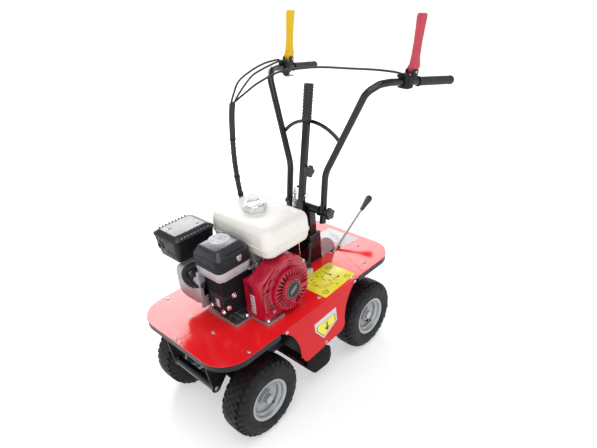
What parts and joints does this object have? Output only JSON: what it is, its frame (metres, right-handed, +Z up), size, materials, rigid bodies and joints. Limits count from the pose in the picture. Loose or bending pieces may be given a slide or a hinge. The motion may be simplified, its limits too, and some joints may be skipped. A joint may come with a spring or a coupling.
{
  "type": "turf cutter",
  "caption": "Walk-behind four-wheeled powered cutter with a petrol engine, a red deck, U-shaped underground blade, raised handlebars with squeeze levers and a depth lever.",
  "frame": {"origin": "on the ground, under the centre of the machine's bounding box", "axes": "+Z up, +X to the machine's left, +Y back to the operator, so the front faces -Y"},
  "size_m": [0.772, 1.2554, 1.426],
  "materials": {
    "black_frame": "satin black paint",
    "apron_black": "gloss black paint",
    "deck_red": "high-gloss red powder coat",
    "zinc": "zinc-plated",
    "axle_steel": "turned",
    "bearing_steel": "ground",
    "rim_silver": "silver paint",
    "tyre": "block tread rubber",
    "chain_steel": "oiled",
    "cast_alloy": "die cast",
    "cylinder_black": "matt black, finned",
    "head_silver": "pressed cover, silver paint",
    "fan_crimson": "gloss crimson paint",
    "starter_crimson": "gloss crimson paint",
    "grip_black": "moulded",
    "muffler_black": "heat-proof satin black",
    "cleaner_silver": "silver band",
    "cleaner_black": "moulded satin",
    "carb_alloy": "die cast",
    "tank_white": "gloss off-white paint",
    "cap_silver": "plated",
    "fan_grey": "cast",
    "pulley_grey": "machined",
    "guard_black": "satin black paint",
    "belt_rubber": "V-belt",
    "gearbox_iron": "cast",
    "column_black": "gloss black paint",
    "lever_black": "satin black paint",
    "rubber_grip": "ribbed",
    "knob_black": "moulded",
    "spring_chrome": "plated",
    "carrier_dark": "satin",
    "blade_steel": "heat-treated, black",
    "bar_black": "gloss black paint",
    "housing_black": "moulded",
    "lever_red": "moulded",
    "lever_yellow": "moulded",
    "throttle_red": "moulded",
    "gate_grey": "smoky, part-clear",
    "cable_black": "sheathed"
  },
  "bodies": {
    "chassis": {"frame_plates": "black_frame", "cross_members": "black_frame", "deck_aprons": "apron_black", "left_deck_cover": "deck_red", "right_deck_cover": "deck_red", "rear_deck_cover": "deck_red", "fasteners": "zinc", "front_bar": "black_frame", "front_axle": "axle_steel", "wheel_bearings": "bearing_steel", "crankcase": "cast_alloy", "cylinder_block": "cylinder_black", "cylinder_head": "head_silver", "fan_cover": "fan_crimson", "recoil_starter": "starter_crimson", "muffler": "muffler_black", "air_cleaner_base": "cleaner_silver", "air_cleaner_cover": "cleaner_black", "carburettor": "carb_alloy", "fuel_tank": "tank_white", "belt_guard": "guard_black", "drive_belt": "belt_rubber", "cutter_belt": "belt_rubber", "gearbox": "gearbox_iron", "drive_chain": "chain_steel", "column": "column_black", "balance_spring": "spring_chrome", "gear_gate": "gate_grey", "control_cables": "cable_black"},
    "front_left_wheel": {"front_left_rim": "rim_silver", "front_left_tyre": "tyre"},
    "front_right_wheel": {"front_right_rim": "rim_silver", "front_right_tyre": "tyre"},
    "rear_wheels": {"rear_axle": "axle_steel", "rear_rims": "rim_silver", "rear_tyres": "tyre", "rear_sprocket": "chain_steel"},
    "crank": {"crankshaft": "axle_steel", "flywheel_fan": "fan_grey", "engine_pulley": "pulley_grey"},
    "gearbox_input": {"gearbox_pulley": "pulley_grey"},
    "gearbox_output": {"output_sprocket": "chain_steel"},
    "depth_arm": {"depth_lever": "lever_black", "depth_grip": "rubber_grip"},
    "depth_rod": {"depth_link": "lever_black"},
    "cutter_unit": {"cutter_carrier": "carrier_dark"},
    "eccentric": {"eccentric_shaft": "axle_steel"},
    "cutter_blade": {"blade": "blade_steel"},
    "tilt_bar": {"handlebar": "bar_black", "handlebar_grips": "rubber_grip", "lever_housings": "housing_black"},
    "cutter_clutch": {"red_lever": "lever_red"},
    "drive_clutch": {"yellow_lever": "lever_yellow"},
    "throttle": {"throttle_lever": "throttle_red"},
    "gear_stick": {"gear_lever": "zinc"},
    "clamp_knob": {"lever_knob": "knob_black"},
    "tilt_knob": {"bar_knob": "knob_black"},
    "filler_cap": {"fuel_cap": "cap_silver"},
    "choke": {"choke_lever": "zinc"},
    "starter": {"starter_grip": "grip_black"}
  },
  "joints": [
    {"name": "front_left_spin", "type": "hinge", "parent": "chassis", "child": "front_left_wheel", "pos_m": [0.214, -0.4377, 0.16], "axis": [1, 0, 0], "continuous": true},
    {"name": "front_right_spin", "type": "hinge", "parent": "chassis", "child": "front_right_wheel", "pos_m": [-0.214, -0.4377, 0.16], "axis": [1, 0, 0], "continuous": true},
    {"name": "rear_axle_spin", "type": "hinge", "parent": "chassis", "child": "rear_wheels", "pos_m": [0, 0.2023, 0.16], "axis": [1, 0, 0], "continuous": true},
    {"name": "crank_spin", "type": "hinge", "parent": "chassis", "child": "crank", "pos_m": [0, -0.2277, 0.537], "axis": [1, 0, 0], "continuous": true},
    {"name": "gearbox_input_spin", "type": "hinge", "parent": "chassis", "child": "gearbox_input", "pos_m": [-0.094, 0.1173, 0.35], "axis": [1, 0, 0], "continuous": true},
    {"name": "gearbox_output_spin", "type": "hinge", "parent": "chassis", "child": "gearbox_output", "pos_m": [0.068, 0.1273, 0.3], "axis": [1, 0, 0], "continuous": true},
    {"name": "depth_swing", "type": "hinge", "parent": "chassis", "child": "depth_arm", "pos_m": [0, 0.0583, 0.59], "axis": [1, 0, 0], "range_deg": [0, 35]},
    {"name": "link_swing", "type": "hinge", "parent": "depth_arm", "child": "depth_rod", "pos_m": [0.012, -0.0917, 0.59], "axis": [1, 0, 0], "range_deg": [-35, 0]},
    {"name": "cutter_lower", "type": "slide", "parent": "chassis", "child": "cutter_unit", "axis": [0, 0, -1], "range_m": [0, 0.09], "deforming": ["cutter_belt"]},
    {"name": "eccentric_spin", "type": "hinge", "parent": "cutter_unit", "child": "eccentric", "pos_m": [0, -0.1677, 0.24], "axis": [1, 0, 0], "continuous": true},
    {"name": "blade_stroke", "type": "slide", "parent": "cutter_unit", "child": "cutter_blade", "axis": [0, 1, 0], "range_m": [-0.006, 0.006]},
    {"name": "handlebar_tilt", "type": "hinge", "parent": "chassis", "child": "tilt_bar", "pos_m": [0, 0.1073, 0.687], "axis": [-1, 0, 0], "range_deg": [0, 15], "deforming": ["control_cables"]},
    {"name": "cutter_clutch_squeeze", "type": "hinge", "parent": "tilt_bar", "child": "cutter_clutch", "pos_m": [0.32521, 0.39657, 1.22602], "axis": [-0.9816, 0.1908, 0], "range_deg": [0, 75], "stiffness_Nm_per_rad": 1.2, "springref_deg": -34.38},
    {"name": "drive_clutch_squeeze", "type": "hinge", "parent": "tilt_bar", "child": "drive_clutch", "pos_m": [-0.32521, 0.39657, 1.22602], "axis": [-0.9816, -0.1908, 0], "range_deg": [0, 75], "stiffness_Nm_per_rad": 1.2, "springref_deg": -34.38},
    {"name": "throttle_swing", "type": "hinge", "parent": "tilt_bar", "child": "throttle", "pos_m": [-0.32071, 0.37342, 1.15382], "axis": [-0.0298, 0.1536, 0.9877], "range_deg": [0, 50]},
    {"name": "gear_select", "type": "hinge", "parent": "chassis", "child": "gear_stick", "pos_m": [0.056, 0.1823, 0.405], "axis": [1, 0, 0], "range_deg": [-8, 25]},
    {"name": "lever_knob_turn", "type": "hinge", "parent": "depth_arm", "child": "clamp_knob", "pos_m": [0.03, 0.10806, 0.85334], "axis": [1, 0, 0], "range_deg": [0, 360]},
    {"name": "bar_knob_turn", "type": "hinge", "parent": "chassis", "child": "tilt_knob", "pos_m": [0.128, 0.1073, 0.687], "axis": [1, 0, 0], "range_deg": [0, 360]},
    {"name": "cap_turn", "type": "hinge", "parent": "chassis", "child": "filler_cap", "pos_m": [0, -0.1767, 0.8], "axis": [0, 0, 1], "range_deg": [-90, 0]},
    {"name": "choke_swing", "type": "hinge", "parent": "chassis", "child": "choke", "pos_m": [0.118, -0.2977, 0.6455], "axis": [0, 0, 1], "range_deg": [0, 60]},
    {"name": "starter_pull", "type": "slide", "parent": "chassis", "child": "starter", "axis": [0, 1, 0], "range_m": [0, 0.45], "stiffness_N_per_m": 20, "springref_m": -0.1}
  ],
  "couplings": [
    {"joint": "gearbox_input_spin", "follows": "crank_spin", "ratio": 0.8},
    {"joint": "eccentric_spin", "follows": "crank_spin", "ratio": 1.0526},
    {"joint": "gearbox_output_spin", "follows": "rear_axle_spin", "ratio": 2.5},
    {"joint": "link_swing", "follows": "depth_swing", "ratio": -1},
    {"joint": "cutter_lower", "follows": "depth_swing", "m_per_rad": 0.14084}
  ]
}
